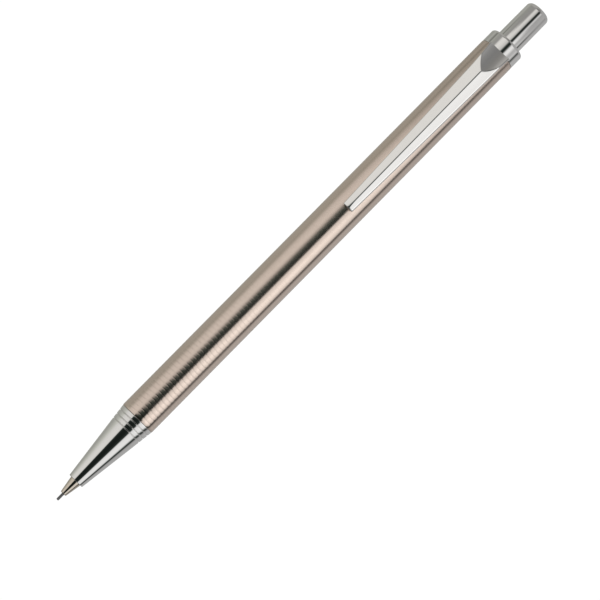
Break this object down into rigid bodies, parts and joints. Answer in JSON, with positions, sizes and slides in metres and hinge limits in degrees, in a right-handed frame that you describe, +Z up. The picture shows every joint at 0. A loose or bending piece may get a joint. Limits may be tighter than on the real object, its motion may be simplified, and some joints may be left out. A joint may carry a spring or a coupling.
{
  "type": "mechanical pencil",
  "caption": "Slim all-metal push-button mechanical pencil with a chrome nose cone, folded pocket clip and pull-off button cap over an eraser.",
  "frame": {"origin": "on the surface the pencil lies on, under the middle of its length: the centre of the bottom of its bounding box", "axes": "+X along the pencil from its point to its button, +Z up through the clip's fold, +Y across"},
  "size_m": [0.1378, 0.008, 0.0105],
  "materials": {
    "barrel_metal": "satin champagne nickel plate, turned rings behind the point",
    "chrome_nose": "polished chrome plate",
    "chrome_trim": "polished chrome plate",
    "chrome_clip": "polished chrome plate, finely brushed facet",
    "tip_nickel": "polished warm nickel",
    "brass": "turned brass, unpolished",
    "spring_steel": "drawn spring wire",
    "holder_metal": "turned aluminium",
    "graphite": "polymer graphite lead, slightly shiny",
    "tube_plastic": "translucent moulded plastic",
    "retainer_rubber": "matt black rubber",
    "eraser_rubber": "matt white vinyl eraser"
  },
  "bodies": {
    "barrel": {"barrel": "barrel_metal", "front_bush": "brass", "mechanism_housing": "brass", "top_bush": "brass", "clip_ring": "chrome_clip", "collar": "chrome_trim", "chuck_spring": "spring_steel"},
    "clip": {"clip": "chrome_clip"},
    "tip": {"tip_cone": "tip_nickel", "lead_retainer": "retainer_rubber"},
    "nose": {"nose_cone": "chrome_nose"},
    "clutch": {"clutch_ring": "brass"},
    "advance": {"chuck": "brass", "tube_connector": "brass", "lead_tube": "tube_plastic", "spare_lead_1": "graphite", "spare_lead_2": "graphite", "spare_lead_3": "graphite"},
    "button": {"push_button": "chrome_trim"},
    "eraser": {"eraser_holder": "holder_metal", "eraser": "eraser_rubber"},
    "lead": {"lead": "graphite"}
  },
  "joints": [
    {"name": "push", "type": "slide", "parent": "barrel", "child": "advance", "axis": [-1, 0, 0], "range_m": [0, 0.0025], "stiffness_N_per_m": 800, "springref_m": -0.0015, "deforming": ["chuck_spring"]},
    {"name": "clutch_slide", "type": "slide", "parent": "barrel", "child": "clutch", "axis": [-1, 0, 0], "range_m": [0, 0.001]},
    {"name": "lead_feed", "type": "slide", "parent": "barrel", "child": "lead", "axis": [-1, 0, 0], "range_m": [-0.0016, 0.03]},
    {"name": "cap_pull", "type": "slide", "parent": "advance", "child": "button", "axis": [1, 0, 0], "range_m": [0, 0.02]},
    {"name": "eraser_pull", "type": "slide", "parent": "advance", "child": "eraser", "axis": [1, 0, 0], "range_m": [0, 0.009]},
    {"name": "clip_flex", "type": "hinge", "parent": "barrel", "child": "clip", "pos_m": [0.0564, 0, 0.00845], "axis": [0, 1, 0], "range_deg": [0, 4], "stiffness_Nm_per_rad": 0.5, "springref_deg": -2.86},
    {"name": "nose_travel", "type": "slide", "parent": "barrel", "child": "tip", "axis": [-1, 0, 0], "range_m": [0, 0.004]},
    {"name": "nose_unscrew", "type": "hinge", "parent": "tip", "child": "nose", "pos_m": [-0.0466, 0, 0.004], "axis": [-1, 0, 0], "range_deg": [0, 2880]}
  ],
  "couplings": [
    {"joint": "clutch_slide", "follows": "push", "ratio": 0.4},
    {"joint": "eraser_pull", "follows": "cap_pull", "ratio": 0.45},
    {"joint": "nose_unscrew", "follows": "nose_travel", "rad_per_m": 12566}
  ]
}
